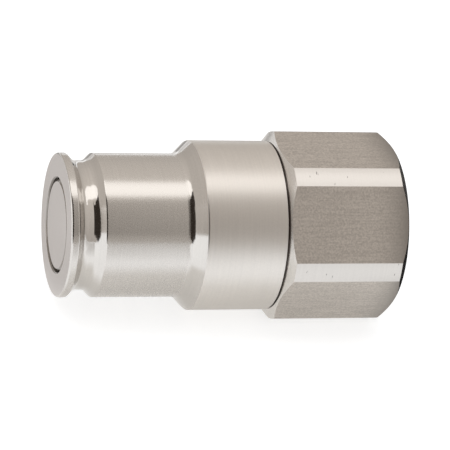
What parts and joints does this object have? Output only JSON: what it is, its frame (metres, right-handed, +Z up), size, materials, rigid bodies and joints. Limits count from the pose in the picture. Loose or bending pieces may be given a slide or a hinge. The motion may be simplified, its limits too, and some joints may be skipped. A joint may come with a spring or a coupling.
{
  "type": "push-to-connect coupling nipple",
  "caption": "Male half of a flush-face quick coupling: flanged nose with a sprung flat valve, locking groove, guiding barrel and a hexagonal adapter with a threaded pipe port.",
  "frame": {"origin": "on the axis, where the guiding barrel begins behind the locking groove", "axes": "+X along the axis from the nose towards the threaded port, +Z up, square to one flat of the hexagon"},
  "size_m": [0.0559, 0.0312, 0.0286],
  "materials": {
    "stainless": "fine turned and milled stainless steel",
    "spring_steel": "drawn stainless wire",
    "seal_rubber": "matt black elastomer",
    "backup_plastic": "waxy white fluoropolymer"
  },
  "bodies": {
    "body": {"nipple_body": "stainless", "hex_adapter": "stainless", "valve_guide": "stainless", "guide_circlip": "spring_steel", "valve_spring": "spring_steel", "body_seal": "seal_rubber", "body_backup_ring": "backup_plastic"},
    "valve": {"valve": "stainless", "valve_seal": "seal_rubber", "valve_backup_ring": "backup_plastic"}
  },
  "joints": [
    {"name": "valve_slide", "type": "slide", "parent": "body", "child": "valve", "axis": [1, 0, 0], "range_m": [0, 0.006], "stiffness_N_per_m": 2900, "springref_m": -0.007, "deforming": ["valve_spring"]}
  ]
}
